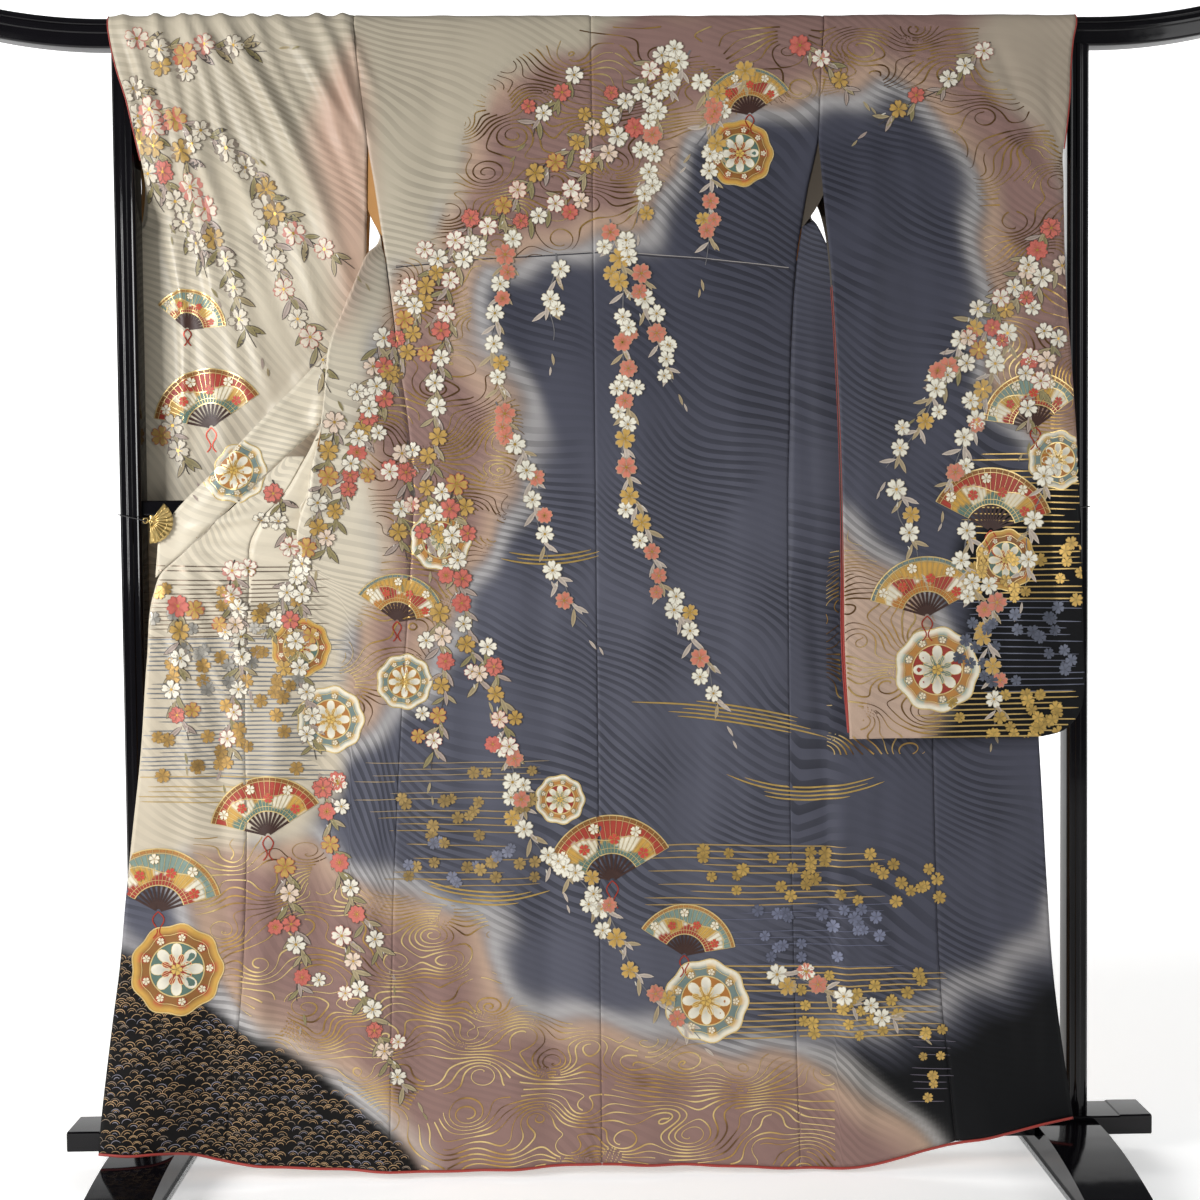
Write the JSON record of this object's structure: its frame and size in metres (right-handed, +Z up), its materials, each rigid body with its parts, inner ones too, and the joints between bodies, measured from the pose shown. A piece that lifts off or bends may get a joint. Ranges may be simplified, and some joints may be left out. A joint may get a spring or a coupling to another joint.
{
  "type": "furisode on a kimono stand",
  "caption": "Long-sleeved formal silk robe hung back outwards over the rail of a lacquered stand, its fronts drawn out sideways and held by fan clips.",
  "frame": {"origin": "on the floor, at the middle of the stand", "axes": "+X to the right and +Z up as the back of the garment is seen, +Y away from that side"},
  "size_m": [1.85, 0.58, 1.6724],
  "materials": {
    "printed_silk": "satin-woven silk, resist-dyed from cream through dusty mauve and blue-grey to navy, with painted blossoms and gold",
    "red_silk_lining": "plain red silk, softly shiny",
    "black_lacquered_wood": "black lacquer, high gloss",
    "brass": "polished, ribbed",
    "black_string": "matt twisted string"
  },
  "bodies": {
    "root": {"body_left": "printed_silk", "body_right": "printed_silk", "okumi_left": "printed_silk", "okumi_right": "printed_silk", "sleeve_left": "printed_silk", "sleeve_right": "printed_silk", "collar": "printed_silk", "hem_roll_left": "red_silk_lining", "hem_roll_right": "red_silk_lining", "cuff_roll_left": "red_silk_lining", "cuff_roll_right": "red_silk_lining", "top_rail": "black_lacquered_wood", "post_left": "black_lacquered_wood", "post_right": "black_lacquered_wood", "crossbar_mid": "black_lacquered_wood", "lower_beam": "black_lacquered_wood", "foot_left": "black_lacquered_wood", "foot_right": "black_lacquered_wood", "clip_left": "brass", "clip_right": "brass", "cord_loop_left": "black_string", "cord_loop_right": "black_string"}
  },
  "joints": []
}
